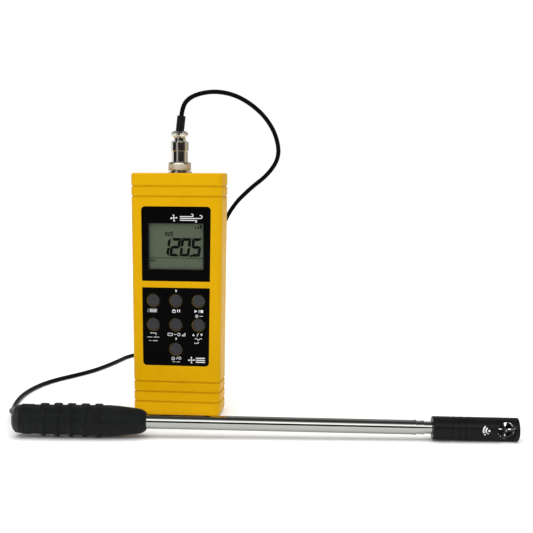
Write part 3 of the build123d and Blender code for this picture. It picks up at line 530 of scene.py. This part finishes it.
def knurl(index, radius, height, angle):
    """Crossed cuts on the band of the ring, as a diamond pattern."""
    if index not in KNURL_ROWS:
        return radius
    climb = (height - CASE_TOP) * KNURL_LEAN
    first = abs(((angle + climb) * TEETH / (2 * math.pi)) % 1.0 - 0.5) * 2
    second = abs(((angle - climb) * TEETH / (2 * math.pi)) % 1.0 - 0.5) * 2
    return radius - KNURL_DEPTH * (1 - min(first, second))


BAND = [(8.98, CASE_TOP + 2.5 + 4.3 * i / 22) for i in range(23)]
RING_PROFILE = (
    [(7.8, CASE_TOP + 1.9), (8.55, CASE_TOP + 1.9), (8.8, CASE_TOP + 2.15)]
    + BAND
    + [(8.86, CASE_TOP + 7.1), (8.72, CASE_TOP + 7.6), (8.45, CASE_TOP + 8.05), (8.05, CASE_TOP + 8.4)]
    + [(7.5, CASE_TOP + 8.58), (6.35, CASE_TOP + 8.6), (6.35, CASE_TOP + 7.6), (7.8, CASE_TOP + 7.6)]
)
KNURL_ROWS = range(4, 3 + len(BAND) - 1)
ring_mesh = ring_solid(RING_PROFILE, 8 * TEETH, knurl)
knurled_ring = piece(
    "coupling_ring_knurled", *ring_mesh, METER, "knurl", "coupling_ring", "connector_chrome", 50,
    ("coupling_ring",),
)


def notched(index, radius, height, angle):
    """Six wrench notches round the gland nut's widest part."""
    if not 2 <= index <= 6:
        return radius
    share = max(0.0, math.cos(NOTCHES * angle)) ** 1.5
    return radius - NOTCH_DEPTH * share * (radius / NOTCH_RADIUS)


GLAND_PROFILE = [
    (1.85, CASE_TOP + 27.5), (4.6, CASE_TOP + 27.5), (5.2, CASE_TOP + 27.7), (6.5, CASE_TOP + 28.9),
    (6.72, CASE_TOP + 29.3), (6.72, CASE_TOP + 30.9), (6.4, CASE_TOP + 31.4), (5.3, CASE_TOP + 32.4),
    (4.9, CASE_TOP + 32.65), (3.6, CASE_TOP + 32.65), (3.3, CASE_TOP + 32.2), (1.85, CASE_TOP + 31.0),
]
gland_mesh = ring_solid(GLAND_PROFILE, 144, notched)
gland = piece(
    "gland_nut_notched", *gland_mesh, METER, "connector", "instrument", "connector_chrome", 28, ("gland_nut",)
)

# ---------------------------------------------------------------- display figures
LCD_FRONT = -13.6
INK_NEAR, INK_FAR = LCD_FRONT - 0.06, LCD_FRONT - 0.01
SLANT = 0.135
FIGURE_BASE, FIGURE_HEIGHT = 125.4, 14.3
FIGURE_HALF_WIDTH, FIGURE_STROKE, FIGURE_GAP = 3.85, 2.15, 0.13
FIGURE_PLACES = (("1", -9.0), ("2", -0.9), ("0", 7.1), ("5", 15.6))
SEGMENTS = {
    "0": "abcdef", "1": "bc", "2": "abged", "3": "abgcd", "4": "fgbc", "5": "afgcd",
    "6": "afgedc", "7": "abc", "8": "abcdefg", "9": "abcdfg",
}
UNIT_PLACE, UNIT_PEN, UNIT_LEAN = (-8.9, 141.2), 0.6, 0.12


def inked(name, shapes):
    """Dark shapes on the display's film."""
    piece(name, *strokes_mesh(shapes, INK_NEAR, INK_FAR), METER, "lcd_ink", "instrument", "lcd_grey_green")


def seven_segments(figure, centre):
    """The slanted segments of one figure as filled outlines with mitred ends."""
    gap, t, side = FIGURE_GAP, FIGURE_STROKE, FIGURE_HALF_WIDTH
    height, middle = FIGURE_HEIGHT, FIGURE_HEIGHT / 2
    bar = ((gap - side, 0), (side - gap, 0), (side - t - gap, t), (t + gap - side, t))
    post = ((-side, gap), (t - side, t + gap), (t - side, middle - t / 2 - gap), (-side, middle - gap))
    rung = (
        (gap - side, middle), (t + gap - side, middle - t / 2), (side - t - gap, middle - t / 2),
        (side - gap, middle), (side - t - gap, middle + t / 2), (t + gap - side, middle + t / 2),
    )
    outlines = {
        "d": bar, "a": [(x, height - z) for x, z in bar], "g": rung,
        "e": post, "f": [(x, height - z) for x, z in post],
        "c": [(-x, z) for x, z in post], "b": [(-x, height - z) for x, z in post],
    }
    return [
        filled(*[(centre + x + SLANT * (z - middle), FIGURE_BASE + z) for x, z in outlines[name]])
        for name in SEGMENTS[figure]
    ]


def unit_sign():
    """The unit m/s in plain strokes."""
    x, z = UNIT_PLACE
    m = [(x, z), (x, z + 2.6), (x + 0.4, z + 2.9), (x + 0.9, z + 2.9), (x + 1.2, z + 2.5), (x + 1.2, z)]
    n = [(px + 1.2, pz) for px, pz in m[1:]]
    slash = [(x + 3.0, z - 0.5), (x + 4.2, z + 3.9)]
    s = [
        (1.5, 2.5), (1.1, 2.9), (0.4, 2.9), (0.1, 2.4), (0.4, 1.75), (1.2, 1.35), (1.5, 0.75), (1.1, 0.1),
        (0.4, 0.1), (0.05, 0.5),
    ]
    strokes = [m, n, slash, [(x + 4.5 + px, z + pz) for px, pz in s]]
    return [line(UNIT_PEN, *[(px + UNIT_LEAN * (pz - z), pz) for px, pz in points]) for points in strokes]


figures = []
for figure, centre in FIGURE_PLACES:
    figures += seven_segments(figure, centre)
# the decimal point, and the rule under the figures
figures.append(filled((10.5, 124.9), (12.1, 124.9), (12.3, 126.5), (10.7, 126.5)))
figures.append(slab(-21.6, 123.85, 21.6, 124.25))
# a small cell symbol at the lower left, and three level bars at the upper right
figures += [
    box_line(-18.8, 121.9, 1.5, 0.75, 0.28),
    slab(-17.1, 121.5, -16.7, 122.3), slab(-19.9, 121.5, -18.9, 122.3),
]
for bar in range(3):
    left = 14.6 + 2.0 * bar
    figures.append(slab(left, 147.0, left + 1.2, 148.0 + 0.9 * bar))
inked("lcd_figures", figures)
inked("lcd_unit", unit_sign())

# ---------------------------------------------------------------- the dark edge round the display window
window_low, window_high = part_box("lcd_window")
HALF = (window_high.x - window_low.x) / 2 / MM
SILL, LINTEL = window_low.z / MM, window_high.z / MM
GASKET = 0.22
GASKET_NEAR, GASKET_FAR = (window_low.y - METER.translation.y) / MM - 0.02, LCD_FRONT - 0.08
gasket = [
    slab(-HALF, SILL, HALF, SILL + GASKET),
    slab(-HALF, LINTEL - GASKET, HALF, LINTEL),
    slab(-HALF, SILL + GASKET, GASKET - HALF, LINTEL - GASKET),
    slab(HALF - GASKET, SILL + GASKET, HALF, LINTEL - GASKET),
]
gasket_mesh = strokes_mesh(gasket, GASKET_NEAR, GASKET_FAR)
piece("window_gasket", *gasket_mesh, METER, "gasket", "instrument", "overlay_black")

# ---------------------------------------------------------------- printed signs on the black panels
PANEL_FRONT = -15.8
PRINT_NEAR, PRINT_FAR = PANEL_FRONT - 0.05, PANEL_FRONT + 0.02
PEN, FINE_PEN, WIND_PEN, PAUSE_PEN, BADGE_PEN = 0.42, 0.36, 0.62, 0.7, 0.75
ARROWHEAD = ((1.0, 0.0), (0.1, 0.75), (0.1, -0.75))
ARROW_STEM = ((-0.9, -0.25), (0.15, -0.25), (0.15, 0.25), (-0.9, 0.25))
FAN_BLADE = ((0.12, -0.10), (0.94, -0.40), (1.0, 0.14))
KEY_RULES = (  # left, right and height of the fine rules by the lower left key
    (-22.6, -18.6, 62.1), (-17.6, -13.2, 62.1), (-21.4, -19.6, 59.3), (-18.6, -14.4, 59.3),
)
BADGE_HEIGHT = 44.7


def printed(name, shapes):
    """Pale shapes printed on a black panel."""
    piece(name, *strokes_mesh(shapes, PRINT_NEAR, PRINT_FAR), METER, "legend", "instrument", "overlay_black")


def wave(x, z, length, swing, steps=24):
    """Points along one and a half waves."""
    return [
        (x + length * i / steps, z + swing * math.sin(2 * math.pi * 1.5 * i / steps))
        for i in range(steps + 1)
    ]


def arrow(x, z, size, degrees):
    """A solid arrowhead on a short stem, turned from +X."""
    return [filled(*turned(shape, x, z, size, degrees)) for shape in (ARROWHEAD, ARROW_STEM)]


def fan(x, z, radius, hub, degrees):
    """Four plain blades round a hub."""
    blades = [filled(*turned(FAN_BLADE, x, z, radius, 90 * turn + degrees)) for turn in range(4)]
    return [disc(x, z, hub)] + blades


def gust(x0, x1, z, curl, width):
    """A wind line that curls back at its end, up for a positive curl."""
    r = abs(curl)
    tail = arc(x1, z + curl, r, -90, 120) if curl > 0 else arc(x1, z + curl, r, 90, -120)
    return ([(x0, z)] + tail, width, False)


title = fan(-1.6, 155.3, 2.6, 0.6, 15)
for end, z, curl in ((12.6, 156.5, 0.95), (19.4, 155.1, 1.2), (15.6, 153.6, -0.7)):
    title.append(gust(3.2, end, z, curl, WIND_PEN))
printed("title_sign", title)

signs = []
# up and down arrows between the key rows, and the enter arrow
signs += arrow(0.1, 98.6, 1.15, 90) + arrow(0.1, 61.2, 1.05, -90)
signs += [line(PEN, (17.6, 59.3), (17.6, 58.0), (15.6, 58.0))] + arrow(15.2, 58.0, 0.8, 180)
# first row: list, padlock and pause, run and stop, then a clock
signs += [line(PEN, (-20.9, z), (-15.0, z)) for z in (84.0, 83.0, 82.0)]
signs += [disc(-22.1, z, 0.26) for z in (84.0, 83.0, 82.0)]
signs += [box_line(-1.6, 82.5, 1.1, 0.75, PEN), (arc(-1.6, 83.4, 0.75, 0, 180), PEN, False)]
signs += [line(PAUSE_PEN, (x, 81.9), (x, 84.2)) for x in (1.3, 2.9)]
signs += [filled((14.6, 81.8), (17.0, 83.0), (14.6, 84.2)), line(PEN, (18.3, 81.8), (18.3, 84.2))]
signs += [slab(19.4, 81.9, 21.4, 84.1), ring(16.4, 79.2, 1.0, FINE_PEN)]
signs += [line(FINE_PEN, (16.4, 79.9), (16.4, 79.2), (17.0, 79.2)), line(PEN, (18.6, 79.2), (21.2, 79.2))]
# second row: back with its rules, duct shapes, high and low, then a wave
signs += [line(PEN, (-15.8, 63.6), (-15.8, 65.3), (-19.0, 65.3))] + arrow(-19.6, 65.3, 0.85, 180)
signs += [line(FINE_PEN, (left, z), (right, z)) for left, right, z in KEY_RULES]
signs += [box_line(-4.6, 64.5, 1.7, 0.95, PEN), line(PEN, (-1.7, 64.5), (0.3, 64.5))]
signs += [ring(2.3, 64.5, 1.05, PEN), line(PEN, (4.6, 63.5), (7.2, 63.5), (7.2, 65.5), (4.6, 63.5))]
signs += [filled((12.8, 63.7), (14.8, 63.7), (13.8, 65.5)), line(PEN, (16.6, 63.4), (17.8, 65.7))]
signs += [filled((19.2, 65.4), (21.2, 65.4), (20.2, 63.6)), (wave(14.9, 61.2, 5.6, 0.55), PEN, False)]
# the power key's own signs
signs += [(arc(-2.2, 45.6, 1.1, -235, 55), PEN, False), line(PEN, (-2.2, 45.7), (-2.2, 47.1))]
signs += [line(PEN, (0.3, 44.9), (1.2, 47.0)), ring(3.0, 45.9, 0.95, PEN)]
signs += [line(FINE_PEN, (-2.6, 43.0), (-0.6, 43.0)), line(FINE_PEN, (0.6, 43.0), (3.2, 43.0))]
printed("key_signs", signs)

# a plain four-bladed vane in the lower right corner
badge = fan(12.2, BADGE_HEIGHT, 2.5, 0.55, 12)
for offset in (1.6, 0.0, -1.6):
    badge.append(line(BADGE_PEN, (15.7, BADGE_HEIGHT + offset), (22.9, BADGE_HEIGHT + offset)))
printed("vane_badge", badge)

# ---------------------------------------------------------------- keys: domed caps with a flange behind
KEY_PLACES = {
    "key_menu": (-17.8, 90.9), "key_lock": (0.0, 90.9), "key_run": (17.8, 90.9),
    "key_back": (-17.8, 72.1), "key_area": (0.0, 72.1), "key_peak": (17.8, 72.1), "key_power": (0.0, 52.9),
}
KEY_PROFILE = (
    (0.0, -16.69), (0.9, -16.68), (1.9, -16.63), (2.9, -16.53), (3.7, -16.38), (4.25, -16.2), (4.6, -15.98),
    (4.78, -15.7), (4.85, -15.3), (4.85, -13.6), (6.0, -13.6), (6.0, -12.6), (2.5, -12.6), (2.5, -11.4),
    (0.0, -11.4),
)


def domed_key(x, z, columns=72):
    """A key turned round its own axis, which points at the user."""
    vertices, faces = [], []
    for radius, depth in KEY_PROFILE[1:-1]:
        for column in range(columns):
            angle = 2 * math.pi * column / columns
            vertices.append((x + radius * math.cos(angle), depth, z + radius * math.sin(angle)))
    rows = len(KEY_PROFILE) - 2
    faces = woven(rows, columns, 0)
    front, back = len(vertices), len(vertices) + 1
    vertices += [(x, KEY_PROFILE[0][1], z), (x, KEY_PROFILE[-1][1], z)]
    last = (rows - 1) * columns
    for column in range(columns):
        beside = (column + 1) % columns
        faces.append((front, beside, column))
        faces.append((back, last + column, last + beside))
    return vertices, faces


for name, (x, z) in KEY_PLACES.items():
    piece(name + "_cap", *domed_key(x, z), METER, "key", name, "key_grey", 40, (name,))

# ---------------------------------------------------------------- the handle's ribbed grip
RIBS = (
    (6.0, 15.4, 10.8), (19.6, 25.8, 11.7), (29.5, 35.6, 11.98), (39.3, 45.3, 11.98), (49.2, 55.2, 11.98),
    (59.0, 65.0, 11.98),
)
VALLEY_START, VALLEY_END = 10.35, 11.0
NOSE = ((69.0, 11.1), (77.0, 10.6), (87.4, 9.5), (92.6, 8.7), (95.6, 7.2), (96.8, 5.6))
GRIP_START, GRIP_END, CORE_END = 5.6, 96.8, 91.5
GRIP_STEP = 0.22
GRIP_BORE, GRIP_MOUTH = 8.0, 5.25
RIBS_START, RIBS_END, NOSE_START = RIBS[0][0], RIBS[-1][1], 66.0
GROOVE_START, GROOVE_SWEEP = 7.4, 5.2
GROOVE_DEPTH, GROOVE_WIDTH = 0.42, 0.38


def smooth_step(value, low, high):
    """0 below low, 1 above high, and a smooth rise between."""
    t = min(1.0, max(0.0, (value - low) / (high - low)))
    return t * t * (3 - 2 * t)


def grip_radius(station, angle):
    """The grip's outside: ribs that narrow towards the underside, then the smooth nose."""
    up = math.sin(angle)
    if station <= NOSE_START:
        share = min(1.0, max(0.0, (station - RIBS_START) / (RIBS_END - RIBS_START)))
        valley = VALLEY_START + (VALLEY_END - VALLEY_START) * share
        radius = valley
        for start, end, top in RIBS:
            pinch = 0.55 * (1 - up)
            flank = 0.75 + 0.25 * (1 - up)
            rise = smooth_step(station, start + pinch, start + pinch + flank)
            fall = 1 - smooth_step(station, end - pinch - flank, end - pinch)
            radius += (top - valley) * min(rise, fall)
        side = abs(math.cos(angle))
        groove = GROOVE_START + GROOVE_SWEEP * abs(up) ** 1.4
        if side > 0.35:
            dip = math.exp(-(((station - groove) / GROOVE_WIDTH) ** 2))
            radius -= GROOVE_DEPTH * dip * smooth_step(side, 0.35, 0.7)
        return radius
    points = ((NOSE_START, VALLEY_END),) + NOSE
    for (s0, r0), (s1, r1) in zip(points, points[1:]):
        if station <= s1:
            t = (station - s0) / (s1 - s0)
            return r0 + (r1 - r0) * (smooth_step(t, 0, 1) if s0 < NOSE[0][0] else t)
    return NOSE[-1][1]


def make_grip(columns=128):
    """The grip as one closed skin: its ribbed outside, then back along its bore."""
    count = int((GRIP_END - GRIP_START) / GRIP_STEP)
    stations = [GRIP_START + GRIP_STEP * i for i in range(count + 1)] + [GRIP_END]
    bore = ((GRIP_END, GRIP_MOUTH), (CORE_END, GRIP_MOUTH), (CORE_END, GRIP_BORE), (GRIP_START, GRIP_BORE))
    angles = [2 * math.pi * column / columns for column in range(columns)]
    rows = [[(station, grip_radius(station, angle), angle) for angle in angles] for station in stations]
    rows += [[(station, radius, angle) for angle in angles] for station, radius in bore]
    vertices = [(s, -r * math.cos(angle), r * math.sin(angle)) for row in rows for s, r, angle in row]
    return vertices, woven(len(rows), columns, 0, True)


piece("handle_grip_ribbed", *make_grip(), PROBE, "grip", "instrument", "grip_rubber", 60, ("handle_grip",))

# ---------------------------------------------------------------- the airflow mark on the head
MARK_RADIUS, MARK_STATION, MARK_LIFT = 8.27, 340.5, 0.6
MARK_THICK, MARK_SINK = 0.05, 0.03


def wrapped_strokes(shapes):
    """Strokes laid round the head's cylinder: x is the station, z the height as the camera side shows it."""
    flat, faces = strokes_mesh(shapes, 0.0, 1.0)
    vertices = []
    for x, layer, z in flat:
        radius = MARK_RADIUS - MARK_SINK if layer else MARK_RADIUS + MARK_THICK
        angle = z / MARK_RADIUS
        vertices.append((x, -radius * math.cos(angle), radius * math.sin(angle)))
    return vertices, faces


mark = [
    (arc(MARK_STATION, MARK_LIFT, 4.0, 128, 205, 16), 1.0, False),
    (arc(MARK_STATION, MARK_LIFT, 2.2, 120, 220, 12), 0.95, False),
    disc(MARK_STATION + 0.1, MARK_LIFT, 0.75),
    (arc(MARK_STATION, MARK_LIFT, 4.0, 216, 232, 4), 0.8, False),
    (arc(MARK_STATION, MARK_LIFT, 2.2, 236, 262, 4), 0.6, False),
]
piece("airflow_mark", *wrapped_strokes(mark), PROBE, "legend", "head", "head_black")

# ---------------------------------------------------------------- stage
FLOOR_REACH = 6.0
AMBIENT = 0.40
AIM = (0.0, 0.0, 0.08)
SOFTBOXES = (  # name, place, width and height, power
    ("key_softbox", (-0.55, -1.35, 1.05), (0.9, 0.7), 3.2),
    ("fill_softbox", (0.95, -1.15, 0.75), (0.8, 0.8), 2.0),
    ("rear_softbox", (0.1, 1.4, 1.0), (1.4, 0.8), 4.0),
)
ARCH = (  # the studio from the front horizon, over the top, to the rear one
    (0.0, 0.03), (0.14, 0.03), (0.16, 2.4), (0.25, 2.4), (0.30, 0.75), (0.36, 0.08), (0.58, 0.08),
    (0.68, 0.42), (0.95, 0.50), (1.0, 0.9),
)
ROOM = (  # the studio at eye level, once round from the rear
    (0.0, 0.12), (0.06, 0.15), (0.10, 1.0), (0.24, 1.0), (0.262, 0.015), (0.385, 0.02), (0.41, 0.42),
    (0.455, 0.50), (0.475, 0.03), (0.60, (0.035, 0.022, 0.015)), (0.66, 0.03), (0.72, 0.07),
    (0.76, (0.62, 0.54, 0.38)), (0.86, (0.55, 0.50, 0.36)), (0.93, (0.40, 0.37, 0.28)), (1.0, 0.12),
)
WHITE = (1, 1, 1, 1)


def floor_material():
    """A pale matt floor with a faint cloud in it."""
    shader = Shader("floor_pale")
    cloud = shader.noise(3.0, 3.0)
    shader.link("Base Color", blend(shader.tree, cloud, (0.88, 0.88, 0.88, 1), (0.92, 0.92, 0.92, 1)))
    shader.set(Roughness=0.9, Specular_IOR_Level=0.1)
    return shader.material


def make_floor():
    """A plain square floor at the object's base."""
    corners = [(x * FLOOR_REACH, y * FLOOR_REACH, 0) for x, y in ((-1, -1), (1, -1), (1, 1), (-1, 1))]
    mesh = bpy.data.meshes.new("floor")
    mesh.from_pydata(corners, [], [(0, 1, 2, 3)])
    mesh.materials.append(floor_material())
    floor = bpy.data.objects.new("floor", mesh)
    bpy.context.scene.collection.objects.link(floor)


def math_node(tree, kind, first, second=0.0):
    """A sum on one or two values."""
    node = tree.nodes.new("ShaderNodeMath")
    node.operation = kind
    for socket, value in zip(node.inputs, (first, second)):
        feed(tree, socket, value)
    return node.outputs[0]


def ramp(tree, value, stops):
    """A colour ramp. Each stop is (position, grey or colour), and positions rise."""
    node = tree.nodes.new("ShaderNodeValToRGB")
    feed(tree, node.inputs[0], value)
    elements = node.color_ramp.elements
    elements.remove(elements[-1])
    for index, (position, tone) in enumerate(stops):
        element = elements.new(position) if index else elements[0]
        element.position = position
        element.color = (*tone, 1) if isinstance(tone, tuple) else (tone, tone, tone, 1)
    return node.outputs[0]


def background(tree, colour, strength=1.0):
    """One backdrop of the world."""
    node = tree.nodes.new("ShaderNodeBackground")
    feed(tree, node.inputs[0], colour)
    feed(tree, node.inputs[1], strength)
    return node.outputs[0]


def mix_shader(tree, share, first, second):
    """The first shader where share is 0, and the second where it is 1."""
    node = tree.nodes.new("ShaderNodeMixShader")
    for socket, value in zip(node.inputs, (share, first, second)):
        feed(tree, socket, value)
    return node.outputs[0]


def studio_colour(tree):
    """The studio that reflections see: a bright upper front, dark overhead and side flags."""
    split = tree.nodes.new("ShaderNodeSeparateXYZ")
    feed(tree, split.inputs[0], tree.nodes.new("ShaderNodeTexCoord").outputs["Generated"])
    x, y, z = split.outputs
    toward = math_node(tree, "MULTIPLY", y, -1.0)
    rise = math_node(tree, "DIVIDE", math_node(tree, "ARCTAN2", z, toward), math.pi)
    turn = math_node(tree, "DIVIDE", math_node(tree, "ARCTAN2", x, toward), 2 * math.pi)
    bearing = math_node(tree, "ADD", turn, 0.5)
    share = ramp(tree, math_node(tree, "ABSOLUTE", z), ((0.16, 0.0), (0.34, 1.0)))
    return blend(tree, share, ramp(tree, bearing, ROOM), ramp(tree, rise, ARCH))


def make_world():
    """White to the camera, an even glow to matt surfaces, and the studio to reflections."""
    world = bpy.data.worlds.new("studio")
    bpy.context.scene.world = world
    world.use_nodes = True
    tree = world.node_tree
    tree.nodes.clear()
    ray = tree.nodes.new("ShaderNodeLightPath").outputs
    studio = background(tree, studio_colour(tree))
    lighting = mix_shader(tree, ray["Is Diffuse Ray"], studio, background(tree, WHITE, AMBIENT))
    seen = mix_shader(tree, ray["Is Camera Ray"], lighting, background(tree, WHITE))
    feed(tree, tree.nodes.new("ShaderNodeOutputWorld").inputs[0], seen)


def make_softbox(name, place, size, power):
    """A soft area light aimed at the object."""
    data = bpy.data.lights.new(name, "AREA")
    data.shape = "RECTANGLE"
    data.size, data.size_y = size
    data.energy = power
    light = bpy.data.objects.new(name, data)
    light.location = place
    light.rotation_euler = (Vector(AIM) - Vector(place)).to_track_quat("-Z", "Y").to_euler()
    light.visible_camera = False
    light.visible_glossy = False
    bpy.context.scene.collection.objects.link(light)


def make_sun():
    """A very broad overhead light, which keeps the floor evenly pale to its far edge."""
    data = bpy.data.lights.new("overhead", "SUN")
    data.energy = 2.6
    data.angle = math.radians(70)
    light = bpy.data.objects.new("overhead", data)
    light.rotation_euler = (math.radians(8), 0, 0)
    light.visible_glossy = False
    bpy.context.scene.collection.objects.link(light)


make_floor()
make_world()
for softbox in SOFTBOXES:
    make_softbox(*softbox)
make_sun()
bpy.context.scene.view_settings.view_transform = "Standard"
